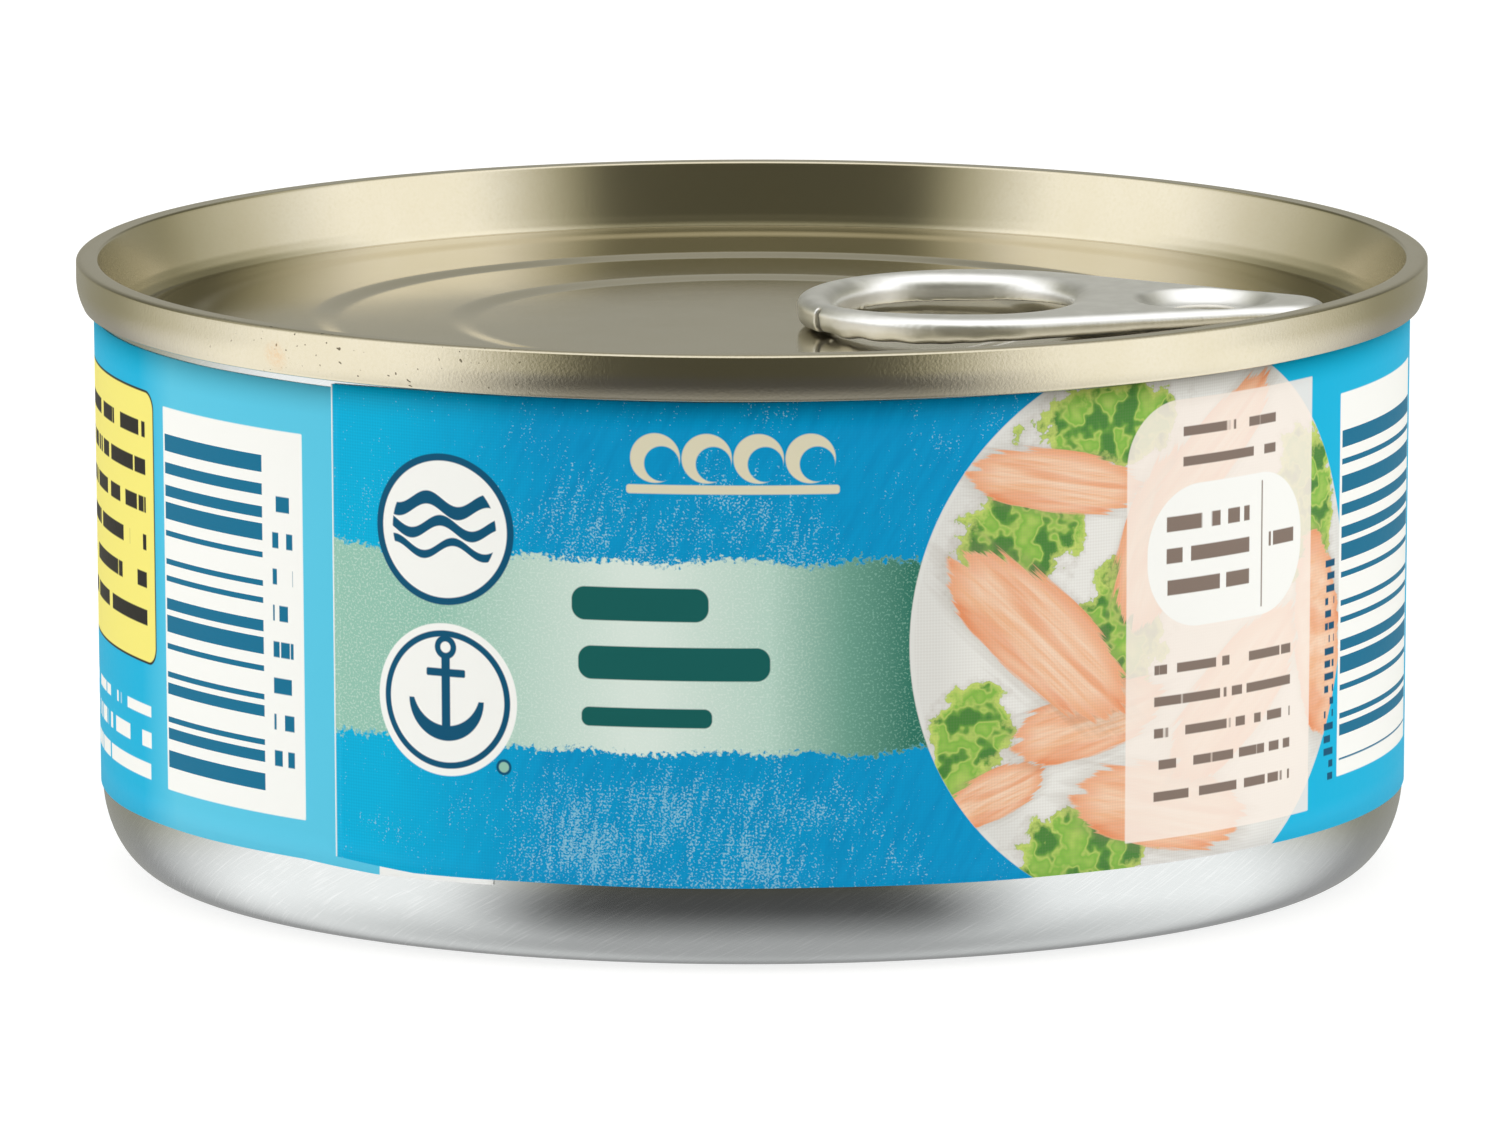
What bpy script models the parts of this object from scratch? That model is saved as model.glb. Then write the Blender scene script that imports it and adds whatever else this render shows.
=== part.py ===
"""A shallow round food can: drawn metal body, seamed end, pull tab and paper label.

Metres, +Z up. The origin is the centre of the base, on the surface the can stands on.
The middle of the label's front faces -Y.
"""
from math import asin, cos, degrees, pi, radians, sin, tau

import bmesh
import bpy
from mathutils import Matrix, Vector

MM = 0.001
GAP = 0.3 * MM
MERGE = 0.001 * MM
STEPS = 80
SHARP = radians(35.0)

# The can over all
SEAM_RADIUS = 43.0 * MM
CAN_HEIGHT = 39.0 * MM

# The double seam that rolls the end onto the body
SEAM_HEIGHT = 3.0 * MM
SEAM_WIDTH = 1.4 * MM
SEAM_LOWER_ROUND = 0.45 * MM
SEAM_TOP_ROUND = 0.5 * MM
SEAM_FOOT = CAN_HEIGHT - SEAM_HEIGHT

# The wall under the seam, which draws in a little towards the base
WALL_RADIUS = 41.9 * MM
WALL_TAPER = 0.286 * MM
CORNER_HEIGHT = 5.8 * MM
CORNER_REACH = 4.0 * MM

# The base: a flat standing ring round a raised, stepped panel
RING_WIDTH = 2.0 * MM
BASE_SLOPE = 1.0 * MM
BASE_PANEL = 1.0 * MM
BASE_STEP_RADII = (27.0 * MM, 18.0 * MM)
BASE_STEP_RISE = 0.3 * MM
STEP_SLOPE = 1.3 * MM

# The end: a chuck wall, a groove at its foot, and a panel that steps down to the middle
CHUCK_FOOT_RADIUS = 40.5 * MM
CHUCK_FOOT = 35.0 * MM
GROOVE_RADIUS = 39.8 * MM
GROOVE_FLOOR = 34.85 * MM
PANEL_EDGE_RADIUS = 39.0 * MM
PANEL_RADII = (35.5 * MM, 26.8 * MM, 18.0 * MM)
PANEL_LEVELS = (35.5 * MM, 35.3 * MM, 35.1 * MM, 34.9 * MM)
END_UNDERSIDE = 33.9 * MM

# The paper label, with its doubled overlap left of the front
PAPER = 0.3 * MM
OVERLAP_RISE = 0.12 * MM
LABEL_FOOT = 5.4 * MM
OVERLAP_START = radians(-38.5)
OVERLAP_END = radians(-23.0)
OVERLAP_FADE = radians(4.0)
EDGE_FADE = radians(0.4)

# The pull tab, in its own frame: +X runs from the finger ring to the nose
TAB_TURN = radians(-8.0)
RING_CENTRE = 14.4 * MM
RING_RADIUS = 11.4 * MM
NOSE_CENTRE = 33.6 * MM
NOSE_RADIUS = 3.1 * MM
TAB_TOP = 36.75 * MM
TAB_FOOT_AT_RING = 35.3 * MM
TAB_FOOT_AT_NOSE = 35.9 * MM
SHOULDER = 0.5 * MM
FOOT_ROUND = 0.25 * MM
HOLE_CENTRE = 13.0 * MM
HOLE_LENGTH = 15.0 * MM
HOLE_WIDTH = 16.0 * MM
HOLE_POWER = 2.5
RING_SIDES = 32
NOSE_SIDES = 12
HOLE_SIDES = 36
DISH_CENTRE = 29.0 * MM
DISH_RADIUS = 4.9 * MM
DISH_FLOOR_RADIUS = 3.7 * MM
DISH_FLOOR = 36.2 * MM
DISH_SIDES = 24
RIVET_RADIUS = 2.0 * MM
RIVET_TOP = 36.5 * MM
RIVET_ROUND = 0.2 * MM
RIVET_SIDES = 20


def new_material(name, colour, roughness, metallic):
    """One plain finish."""
    material = bpy.data.materials.new(name)
    material.use_nodes = True
    shader = material.node_tree.nodes["Principled BSDF"]
    shader.inputs["Base Color"].default_value = (*colour, 1.0)
    shader.inputs["Roughness"].default_value = roughness
    shader.inputs["Metallic"].default_value = metallic
    return material


def new_object(name, bm, material):
    """Turn a bmesh into a smooth-shaded object of the scene."""
    bmesh.ops.recalc_face_normals(bm, faces=bm.faces)
    mesh = bpy.data.meshes.new(name)
    bm.to_mesh(mesh)
    bm.free()
    mesh.shade_smooth()
    mesh.set_sharp_from_angle(angle=SHARP)
    obj = bpy.data.objects.new(name, mesh)
    if material:
        mesh.materials.append(material)
    bpy.context.collection.objects.link(obj)
    return obj


def arc(centre, radii, start, end, count):
    """Points (r, z) on an ellipse quarter or less, from start to end in degrees."""
    angles = [radians(start + (end - start) * i / count) for i in range(count + 1)]
    return [(centre[0] + radii[0] * cos(a), centre[1] + radii[1] * sin(a)) for a in angles]


def turned(name, outline, material):
    """Spin an outline of (r, z) points, which starts and ends on the axis."""
    bm = bmesh.new()
    verts = [bm.verts.new((r, 0.0, z)) for r, z in outline]
    edges = [bm.edges.new(pair) for pair in zip(verts, verts[1:])]
    bmesh.ops.spin(bm, geom=verts + edges, cent=(0, 0, 0), axis=(0, 0, 1), angle=tau,
                   steps=STEPS, use_merge=True)
    bmesh.ops.remove_doubles(bm, verts=bm.verts, dist=MERGE)
    return new_object(name, bm, material)


def lofted(name, loops, material):
    """Bridge closed loops of points from the first to the last and cap both ends."""
    bm = bmesh.new()
    rings = [[bm.verts.new(point) for point in loop] for loop in loops]
    for lower, upper in zip(rings, rings[1:]):
        for i in range(len(lower)):
            bm.faces.new((lower[i - 1], lower[i], upper[i], upper[i - 1]))
    bm.faces.new(rings[0])
    bm.faces.new(rings[-1])
    return new_object(name, bm, material)


def wall_radius(z):
    """Outside of the label at a height."""
    return WALL_RADIUS - WALL_TAPER * (SEAM_FOOT - z) / (SEAM_FOOT - CORNER_HEIGHT)


def body_outline():
    """The filled body: stepped base, standing ring, round corner, and wall under the label.

    The real wall's rim is rolled up inside the seam, so the solid stops under the end.
    """
    corner_centre = wall_radius(CORNER_HEIGHT) - CORNER_REACH
    ring_inner = corner_centre - RING_WIDTH
    set_in = PAPER + GAP
    body_top = END_UNDERSIDE - GAP
    ledge = LABEL_FOOT - GAP
    panel_top = BASE_PANEL + len(BASE_STEP_RADII) * BASE_STEP_RISE
    outline = [(0.0, panel_top)]
    for number, radius in enumerate(reversed(BASE_STEP_RADII)):
        height = panel_top - number * BASE_STEP_RISE
        outline.append((radius - STEP_SLOPE / 2, height))
        outline.append((radius + STEP_SLOPE / 2, height - BASE_STEP_RISE))
    outline.append((ring_inner - BASE_SLOPE, BASE_PANEL))
    outline.append((ring_inner, 0.0))
    corner_end = degrees(asin((CORNER_HEIGHT - ledge) / CORNER_HEIGHT))
    outline += arc((corner_centre, CORNER_HEIGHT), (CORNER_REACH, CORNER_HEIGHT),
                   -90.0, -corner_end, 7)
    outline.append((wall_radius(LABEL_FOOT) - set_in, ledge))
    outline.append((wall_radius(body_top) - set_in, body_top))
    outline.append((0.0, body_top))
    return outline


def end_outline():
    """The end: filled under its panel, with the double seam round it."""
    plug = wall_radius(SEAM_FOOT) - PAPER - GAP
    seam_inner = SEAM_RADIUS - SEAM_WIDTH
    lower = (SEAM_RADIUS - SEAM_LOWER_ROUND, SEAM_FOOT + SEAM_LOWER_ROUND)
    upper = (SEAM_RADIUS - SEAM_TOP_ROUND, CAN_HEIGHT - SEAM_TOP_ROUND)
    inner = (seam_inner + SEAM_TOP_ROUND, CAN_HEIGHT - SEAM_TOP_ROUND)
    outline = [(0.0, END_UNDERSIDE), (plug, END_UNDERSIDE), (plug, SEAM_FOOT)]
    outline += arc(lower, (SEAM_LOWER_ROUND, SEAM_LOWER_ROUND), -90.0, 0.0, 3)
    outline += arc(upper, (SEAM_TOP_ROUND, SEAM_TOP_ROUND), 0.0, 90.0, 4)
    outline += arc(inner, (SEAM_TOP_ROUND, SEAM_TOP_ROUND), 90.0, 180.0, 4)
    outline.append((CHUCK_FOOT_RADIUS, CHUCK_FOOT))
    outline.append((GROOVE_RADIUS, GROOVE_FLOOR))
    outline.append((PANEL_EDGE_RADIUS, PANEL_LEVELS[0]))
    for radius, before, after in zip(PANEL_RADII, PANEL_LEVELS, PANEL_LEVELS[1:]):
        outline.append((radius + STEP_SLOPE / 2, before))
        outline.append((radius - STEP_SLOPE / 2, after))
    outline.append((0.0, PANEL_LEVELS[-1]))
    return outline


def make_label(material):
    """A closed sleeve of paper with a thicker stretch where its ends overlap."""
    angles = [tau * i / STEPS - pi for i in range(STEPS)]
    angles = [a for a in angles if abs(a - OVERLAP_START) > EDGE_FADE]
    angles += [OVERLAP_START - EDGE_FADE, OVERLAP_START]
    label_top = SEAM_FOOT - GAP
    bm = bmesh.new()
    sections = []
    for angle in sorted(angles):
        rise = 0.0
        if OVERLAP_START <= angle:
            fade = (OVERLAP_END - angle) / OVERLAP_FADE
            rise = OVERLAP_RISE * min(1.0, max(0.0, fade))
        direction = Vector((sin(angle), -cos(angle), 0.0))
        corners = []
        for z, offset in ((LABEL_FOOT, -PAPER), (LABEL_FOOT, rise),
                          (label_top, rise), (label_top, -PAPER)):
            corners.append(bm.verts.new(direction * (wall_radius(z) + offset) + Vector((0, 0, z))))
        sections.append(corners)
    for i, section in enumerate(sections):
        for j in range(4):
            before = sections[i - 1]
            bm.faces.new((before[j - 1], before[j], section[j], section[j - 1]))
    return new_object("label", bm, material)


def teardrop(inset):
    """The tab's outline: a large and a small circle joined by their tangents."""
    lean = asin((RING_RADIUS - NOSE_RADIUS) / (NOSE_CENTRE - RING_CENTRE))
    touch = pi / 2 - lean
    points = []
    for i in range(RING_SIDES + 1):
        angle = touch + (tau - 2 * touch) * i / RING_SIDES
        points.append((RING_CENTRE + (RING_RADIUS - inset) * cos(angle),
                       (RING_RADIUS - inset) * sin(angle)))
    for i in range(NOSE_SIDES + 1):
        angle = -touch + 2 * touch * i / NOSE_SIDES
        points.append((NOSE_CENTRE + (NOSE_RADIUS - inset) * cos(angle),
                       (NOSE_RADIUS - inset) * sin(angle)))
    return points


def finger_hole(grow):
    """The hole's outline: a rounded oval between a circle and a square."""
    points = []
    for i in range(HOLE_SIDES):
        angle = tau * i / HOLE_SIDES
        across, along = cos(angle), sin(angle)
        size = (abs(across) ** HOLE_POWER + abs(along) ** HOLE_POWER) ** (-1 / HOLE_POWER)
        points.append((HOLE_CENTRE + (HOLE_LENGTH / 2 + grow) * size * across,
                       (HOLE_WIDTH / 2 + grow) * size * along))
    return points


def circle(centre, radius, count):
    """Points round a centre on the tab's middle line."""
    angles = [tau * i / count for i in range(count)]
    return [(centre + radius * cos(a), radius * sin(a)) for a in angles]


def tab_foot(x):
    """Height of the tab's underside, which rises towards the nose."""
    ring_tip = RING_CENTRE - RING_RADIUS
    nose_tip = NOSE_CENTRE + NOSE_RADIUS
    share = (x - ring_tip) / (nose_tip - ring_tip)
    return TAB_FOOT_AT_RING + (TAB_FOOT_AT_NOSE - TAB_FOOT_AT_RING) * share


def level(points, z):
    """Lift a flat outline to one height."""
    return [(x, y, z) for x, y in points]


def combine(target, tool, operation):
    """Cut one object out of another, or join it on, and drop the tool."""
    modifier = target.modifiers.new(tool.name, "BOOLEAN")
    modifier.operation = operation
    modifier.solver = "EXACT"
    modifier.object = tool
    evaluated = target.evaluated_get(bpy.context.evaluated_depsgraph_get())
    mesh = bpy.data.meshes.new_from_object(evaluated)
    target.modifiers.clear()
    target.data = mesh
    bpy.data.objects.remove(tool)
    mesh.shade_smooth()
    mesh.set_sharp_from_angle(angle=SHARP)


def make_tab(material):
    """The stamped tab: a finger ring, a flat web, and a dish that holds the rivet."""
    foot = [(x, y, tab_foot(x)) for x, y in teardrop(FOOT_ROUND)]
    skirt = [(x, y, tab_foot(x) + FOOT_ROUND) for x, y in teardrop(0.0)]
    shoulder = arc((SHOULDER, TAB_TOP - SHOULDER), (SHOULDER, SHOULDER), 180.0, 90.0, 3)
    loops = [foot, skirt] + [level(teardrop(inset), z) for inset, z in shoulder]
    tab = lofted("pull_tab", loops, material)

    below = TAB_FOOT_AT_RING - SHOULDER
    above = TAB_TOP + SHOULDER
    flare = arc((SHOULDER, TAB_TOP - SHOULDER), (SHOULDER, SHOULDER), 180.0, 120.0, 2)
    loops = [level(finger_hole(0.0), below)]
    loops += [level(finger_hole(grow), z) for grow, z in flare]
    loops.append(level(finger_hole(2 * SHOULDER), above))
    combine(tab, lofted("finger_cutter", loops, None), "DIFFERENCE")

    rim_slope = (DISH_RADIUS - DISH_FLOOR_RADIUS) / (TAB_TOP - DISH_FLOOR)
    loops = [level(circle(DISH_CENTRE, DISH_FLOOR_RADIUS, DISH_SIDES), DISH_FLOOR),
             level(circle(DISH_CENTRE, DISH_RADIUS + rim_slope * SHOULDER, DISH_SIDES), above)]
    combine(tab, lofted("dish_cutter", loops, None), "DIFFERENCE")

    hole = circle(DISH_CENTRE, RIVET_RADIUS + GAP, RIVET_SIDES)
    combine(tab, lofted("rivet_cutter", [level(hole, below), level(hole, above)], None), "DIFFERENCE")
    tab.data.transform(Matrix.Rotation(TAB_TURN, 4, "Z"))


def add_rivet(end):
    """Raise the rivet out of the end's panel, as one solid with it."""
    root = (PANEL_LEVELS[-1] + END_UNDERSIDE) / 2
    stem = circle(DISH_CENTRE, RIVET_RADIUS, RIVET_SIDES)
    crown = circle(DISH_CENTRE, RIVET_RADIUS - RIVET_ROUND, RIVET_SIDES)
    loops = [level(stem, root), level(stem, RIVET_TOP - RIVET_ROUND), level(crown, RIVET_TOP)]
    rivet = lofted("rivet", loops, None)
    rivet.data.transform(Matrix.Rotation(TAB_TURN, 4, "Z"))
    combine(end, rivet, "UNION")


for old in list(bpy.data.objects):
    bpy.data.objects.remove(old)

steel = new_material("bare_steel", (0.62, 0.62, 0.61), 0.35, 1.0)
gold = new_material("gold_lacquer", (0.66, 0.61, 0.46), 0.32, 1.0)
silver = new_material("tab_aluminium", (0.78, 0.78, 0.78), 0.3, 1.0)
paper = new_material("label_paper", (0.02, 0.33, 0.66), 0.5, 0.0)

turned("can_body", body_outline(), steel)
add_rivet(turned("can_end", end_outline(), gold))
make_tab(silver)
make_label(paper)
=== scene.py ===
"""The looks of a shallow food can: bare drawn body, gold end, pull tab and printed label."""

from math import asin, cos, degrees, pi, radians, sin, sqrt, tau

import bmesh
import bpy
from mathutils import Matrix, Vector, noise


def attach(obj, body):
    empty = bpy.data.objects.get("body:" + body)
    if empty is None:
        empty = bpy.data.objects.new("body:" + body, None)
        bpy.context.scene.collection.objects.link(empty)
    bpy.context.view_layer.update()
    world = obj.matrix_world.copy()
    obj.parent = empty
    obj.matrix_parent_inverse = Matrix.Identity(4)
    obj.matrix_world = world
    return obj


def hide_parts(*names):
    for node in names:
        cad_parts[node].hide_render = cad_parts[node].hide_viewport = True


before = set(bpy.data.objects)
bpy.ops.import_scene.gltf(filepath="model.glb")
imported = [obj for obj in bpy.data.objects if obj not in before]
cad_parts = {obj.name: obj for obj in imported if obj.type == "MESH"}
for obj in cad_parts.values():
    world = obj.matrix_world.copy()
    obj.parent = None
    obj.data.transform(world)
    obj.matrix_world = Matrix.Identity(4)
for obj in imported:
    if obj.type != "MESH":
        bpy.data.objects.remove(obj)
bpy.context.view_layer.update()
MM = 0.001


# Studio
# The can stands on a lit white table. Two wide softboxes light it from the sides, a third
# hangs overhead, and the dark room behind the camera shows in the metal.
CAMERA_TARGET = Vector((-0.146, 0.0, 19.104)) * MM
CAMERA_DISTANCE = 1272.1 * MM
CAMERA_TILT = radians(9.267)
CAMERA_ROLL = radians(-0.084)
CAMERA_LENS = 478.5
FLOOR_HALF = 6.0
BACKDROP_WHITE = (1.0, 1.0, 1.0, 1.0)
FLOOR_WHITE = (0.42, 0.42, 0.42, 1.0)
FLOOR_GLOW = 0.72
ROOM_LIGHT = 0.1
SOFTBOX_LIGHT = 1.42
SOFTBOX_EDGE = 40.0
SOFTBOX_END = 110.0
BACK_WALL_LIGHT = 0.05
CEILING_LIGHT = 0.24
OVERHEAD_LIGHT = 1.1
OVERHEAD_EDGE = 56.0
TABLE_LIGHT = 0.62
TABLE_EDGE = -54.0
WARM_GREEN = 0.03
WARM_BLUE = 0.34


class Wire:
    """A shader socket that works in Python expressions, each operator adding a Math node."""

    def __init__(self, graph, socket):
        self.graph = graph
        self.socket = socket

    def __add__(self, other):
        return self.graph.maths("ADD", self, other)

    def __sub__(self, other):
        return self.graph.maths("SUBTRACT", self, other)

    def __rsub__(self, other):
        return self.graph.maths("SUBTRACT", other, self)

    def __mul__(self, other):
        return self.graph.maths("MULTIPLY", self, other)

    def __neg__(self):
        return self.graph.maths("MULTIPLY", self, -1.0)

    __radd__ = __add__
    __rmul__ = __mul__

    def above(self, edge, soft):
        """1 where the value passes an edge, 0 under it, and a slope of that width between."""
        return self.graph.maths("MULTIPLY_ADD", self, 1 / soft, 0.5 - edge / soft, clamp=True)

    def below(self, edge, soft):
        """1 where the value stays under an edge."""
        return self.graph.maths("MULTIPLY_ADD", self, -1 / soft, 0.5 + edge / soft, clamp=True)

    def output(self, name):
        """Another output of the same node."""
        return Wire(self.graph, self.socket.node.outputs[name])


class Graph:
    """A node tree in which one method makes every node."""

    def __init__(self, tree):
        self.tree = tree

    def node(self, kind, settings=None, inputs=None, output=0):
        """Add a node: its settings first, then the values or links of its sockets."""
        node = self.tree.nodes.new("ShaderNode" + kind)
        for name, value in (settings or {}).items():
            setattr(node, name, value)
        for name, value in (inputs or {}).items():
            if isinstance(value, Wire):
                self.tree.links.new(value.socket, node.inputs[name])
            else:
                node.inputs[name].default_value = value
        return Wire(self, node.outputs[output])

    def maths(self, operation, *values, clamp=False):
        """One Math node on numbers."""
        settings = {"operation": operation, "use_clamp": clamp}
        return self.node("Math", settings, dict(enumerate(values)))

    def vector(self, operation, *values, output="Vector"):
        """One Vector Math node."""
        return self.node("VectorMath", {"operation": operation}, dict(enumerate(values)), output)

    def mix(self, mask, under, over):
        """Lay one colour over another where the mask is 1."""
        return self.node("Mix", {"data_type": "RGBA"}, {0: mask, 6: under, 7: over}, 2)

    def noise(self, vector, scale, detail=2.0, roughness=0.5):
        """Smooth noise from 0 to 1."""
        inputs = {"Vector": vector, "Scale": scale, "Detail": detail, "Roughness": roughness}
        return self.node("TexNoise", None, inputs)


def build_world():
    """White to the camera; to the can, a studio with side softboxes and a dark front.

    The light is drawn by direction in degrees: side runs from 0 behind the camera to 180
    beyond the can, and height from -90 under it to 90 overhead. The dim parts are warmer.
    """
    world = bpy.data.worlds.new("studio")
    world.use_nodes = True
    bpy.context.scene.world = world
    graph = Graph(world.node_tree)
    direction = graph.node("TexCoord", output="Generated")
    x = graph.node("SeparateXYZ", None, {0: direction})
    azimuth = graph.maths("ARCTAN2", x, -x.output("Y")) * degrees(1.0)
    height = graph.maths("ARCSINE", x.output("Z")) * degrees(1.0)

    side = graph.maths("ABSOLUTE", azimuth + 2.0)
    low = graph.maths("MINIMUM", height + 9.0, 0.0)
    lit = (side + 0.55 * low - 0.12 * height).above(SOFTBOX_EDGE, 25.0)
    fades = (side + 1.2 * low).above(SOFTBOX_END, 46.0)
    flag = side.above(104.0, 44.0) * side.below(171.0, 16.0)
    flag = flag * height.above(15.0, 16.0) * height.below(37.0, 12.0)
    softbox = lit * (1 - 0.82 * fades) * (1 - 0.9 * flag) * height.below(54.0, 18.0)
    overhead = height.above(OVERHEAD_EDGE, 16.0)
    room = ROOM_LIGHT + SOFTBOX_LIGHT * softbox + OVERHEAD_LIGHT * overhead
    room = room + BACK_WALL_LIGHT * side.above(150.0, 40.0) + CEILING_LIGHT * height.above(41.0, 18.0)
    table = height.below(TABLE_EDGE, 36.0)
    light = room * (1 - table) + TABLE_LIGHT * table
    warm = light.below(0.75, 1.0) * height.above(-16.0, 12.0) * (1 - 0.5 * side.above(150.0, 30.0))
    green = light * (1 - WARM_GREEN * warm)
    blue = light * (1 - WARM_BLUE * warm)
    colour = graph.node("CombineColor", None, {0: light, 1: green, 2: blue})
    sees = graph.node("LightPath", output="Is Camera Ray")
    shown = graph.mix(sees, colour, BACKDROP_WHITE)
    background = world.node_tree.nodes["Background"]
    world.node_tree.links.new(shown.socket, background.inputs["Color"])
    world.cycles.sampling_method = "MANUAL"
    world.cycles.sample_map_resolution = 1024


def build_floor():
    """One wide pale sheet, lit from under. The metal sees the studio's table light instead."""
    mesh = bpy.data.meshes.new("table")
    corners = [(x * FLOOR_HALF, y * FLOOR_HALF, 0.0) for x, y in ((-1, -1), (1, -1), (1, 1), (-1, 1))]
    mesh.from_pydata(corners, [], [(0, 1, 2, 3)])
    table = bpy.data.objects.new("table", mesh)
    bpy.context.collection.objects.link(table)
    material = bpy.data.materials.new("table_white")
    material.use_nodes = True
    graph = Graph(material.node_tree)
    place = graph.node("TexCoord", output="Object")
    colour = graph.mix(graph.noise(place, 30.0) * 0.03, FLOOR_WHITE, BACKDROP_WHITE)
    shader = material.node_tree.nodes["Principled BSDF"]
    material.node_tree.links.new(colour.socket, shader.inputs["Base Color"])
    shader.inputs["Roughness"].default_value = 0.9
    shader.inputs["Emission Color"].default_value = BACKDROP_WHITE
    shader.inputs["Emission Strength"].default_value = FLOOR_GLOW
    mesh.materials.append(material)
    table.visible_glossy = False


def build_camera():
    """A long lens, a little above the can, square to the front of the label."""
    data = bpy.data.cameras.new("camera")
    data.lens = CAMERA_LENS
    data.sensor_width = 36.0
    camera = bpy.data.objects.new("camera", data)
    turn = Matrix.Rotation(pi / 2 - CAMERA_TILT, 4, "X") @ Matrix.Rotation(CAMERA_ROLL, 4, "Z")
    backward = turn.col[2].to_3d()
    camera.matrix_world = Matrix.Translation(CAMERA_TARGET + backward * CAMERA_DISTANCE) @ turn
    bpy.context.collection.objects.link(camera)
    bpy.context.scene.camera = camera


build_world()
build_floor()
build_camera()
bpy.context.scene.view_settings.view_transform = "Standard"
bpy.context.scene.view_settings.look = "None"


# Body
# The body is one cup drawn from thin tinplate. Its base has a round corner, a flat standing
# ring and a pressed panel, and its bare metal keeps fine slanting scratches from the die.
SEAM_FOOT = 36.0
WALL_RADIUS = 41.9
WALL_TAPER = 0.286
CORNER_HEIGHT = 5.8
CORNER_REACH = 3.9
PAPER = 0.1
RING_WIDTH = 2.0
BASE_SLOPE = 1.0
BASE_PANEL = 1.0
BASE_STEPS = (27.0, 18.0)
BASE_RISE = 0.3
STEP_SLOPE = 1.3
BODY_TOP = SEAM_FOOT + 0.3
BODY_FILL = 33.8
TURN_STEPS = 288
BARE_METAL = (0.555, 0.575, 0.57, 1.0)
SCRATCH_METAL = (0.66, 0.675, 0.67, 1.0)


class Finish(Graph):
    """A material whose shader takes constants by name and patterns by feed."""

    def __init__(self, name, constants):
        self.material = bpy.data.materials.new(name)
        self.material.use_nodes = True
        super().__init__(self.material.node_tree)
        self.shader = self.tree.nodes["Principled BSDF"]
        for socket, value in constants.items():
            self.shader.inputs[socket].default_value = value

    def feed(self, socket, wire):
        """Link a pattern to one of the shader's sockets."""
        self.tree.links.new(wire.socket, self.shader.inputs[socket])

    def millimetres(self):
        """The place on the piece, in millimetres."""
        place = self.node("TexCoord", output="Object")
        return self.vector("MULTIPLY", place, (1 / MM, 1 / MM, 1 / MM))

    def wrapped(self):
        """The place unrolled from the can's side, as (arc, height) in millimetres."""
        place = self.node("SeparateXYZ", None, {0: self.millimetres()})
        arc = self.maths("ARCTAN2", place, -place.output("Y")) * WALL_RADIUS
        return self.node("CombineXYZ", None, {0: arc, 1: place.output("Z")})

    def streaks(self, vector, turn, along, across):
        """Noise drawn out along a direction, with its two scales in grains per millimetre."""
        size = (1 / along, 1 / across, 1 / across)
        inputs = {"Vector": vector, "Rotation": (0.0, 0.0, turn), "Scale": size}
        return self.noise(self.node("Mapping", {"vector_type": "TEXTURE"}, inputs), 1.0, 3.0)

    def relief(self, height, strength, distance):
        """Feed a height pattern to the surface as fine relief."""
        inputs = {"Height": height, "Strength": strength, "Distance": distance * MM}
        self.feed("Normal", self.node("Bump", None, inputs))


def arc(centre, radii, start, end, count):
    """Points on part of an ellipse, from start to end in degrees."""
    angles = [radians(start + (end - start) * i / count) for i in range(count + 1)]
    return [(centre[0] + radii[0] * cos(a), centre[1] + radii[1] * sin(a)) for a in angles]


def ease(start, end, count):
    """Points on a smooth step from one point to another, without the first."""
    points = []
    for i in range(1, count + 1):
        share = i / count
        swing = (1 - cos(pi * share)) / 2
        points.append((start[0] + (end[0] - start[0]) * share, start[1] + (end[1] - start[1]) * swing))
    return points


def wall_radius(z):
    """Outside of the label at a height."""
    return WALL_RADIUS - WALL_TAPER * (SEAM_FOOT - z) / (SEAM_FOOT - CORNER_HEIGHT)


def add_piece(name, bm, finish, nodes):
    """Make an object from a bmesh and tie it to the frame."""
    bmesh.ops.recalc_face_normals(bm, faces=bm.faces)
    mesh = bpy.data.meshes.new(name)
    bm.to_mesh(mesh)
    bm.free()
    mesh.shade_smooth()
    piece = bpy.data.objects.new(name, mesh)
    mesh.materials.append(finish.material)
    bpy.context.collection.objects.link(piece)
    tie_piece(piece, nodes)
    return piece


def tie_piece(piece, nodes):
    """Let a piece ride on the can in place of its CAD nodes."""
    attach(piece, "root")
    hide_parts(*nodes)


def held(outline, reach=0.12):
    """Add points near the ends of long straight runs, so that shading keeps them straight."""
    points = [Vector(point) for point in outline]
    kept = []
    for start, end in zip(points, points[1:]):
        kept.append(start)
        run = end - start
        if run.length > 4 * reach:
            kept += [start + run.normalized() * reach, end - run.normalized() * reach]
    return kept + [points[-1]]


def turned(outline, steps=TURN_STEPS):
    """Spin an outline of (radius, height) points, in millimetres, round the can's axis."""
    bm = bmesh.new()
    verts = [bm.verts.new((r * MM, 0.0, z * MM)) for r, z in held(outline)]
    edges = [bm.edges.new(pair) for pair in zip(verts, verts[1:])]
    bmesh.ops.spin(bm, geom=verts + edges, cent=(0, 0, 0), axis=(0, 0, 1), angle=tau,
                   steps=steps, use_merge=True)
    bmesh.ops.remove_doubles(bm, verts=bm.verts, dist=0.0005 * MM)
    return bm


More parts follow.
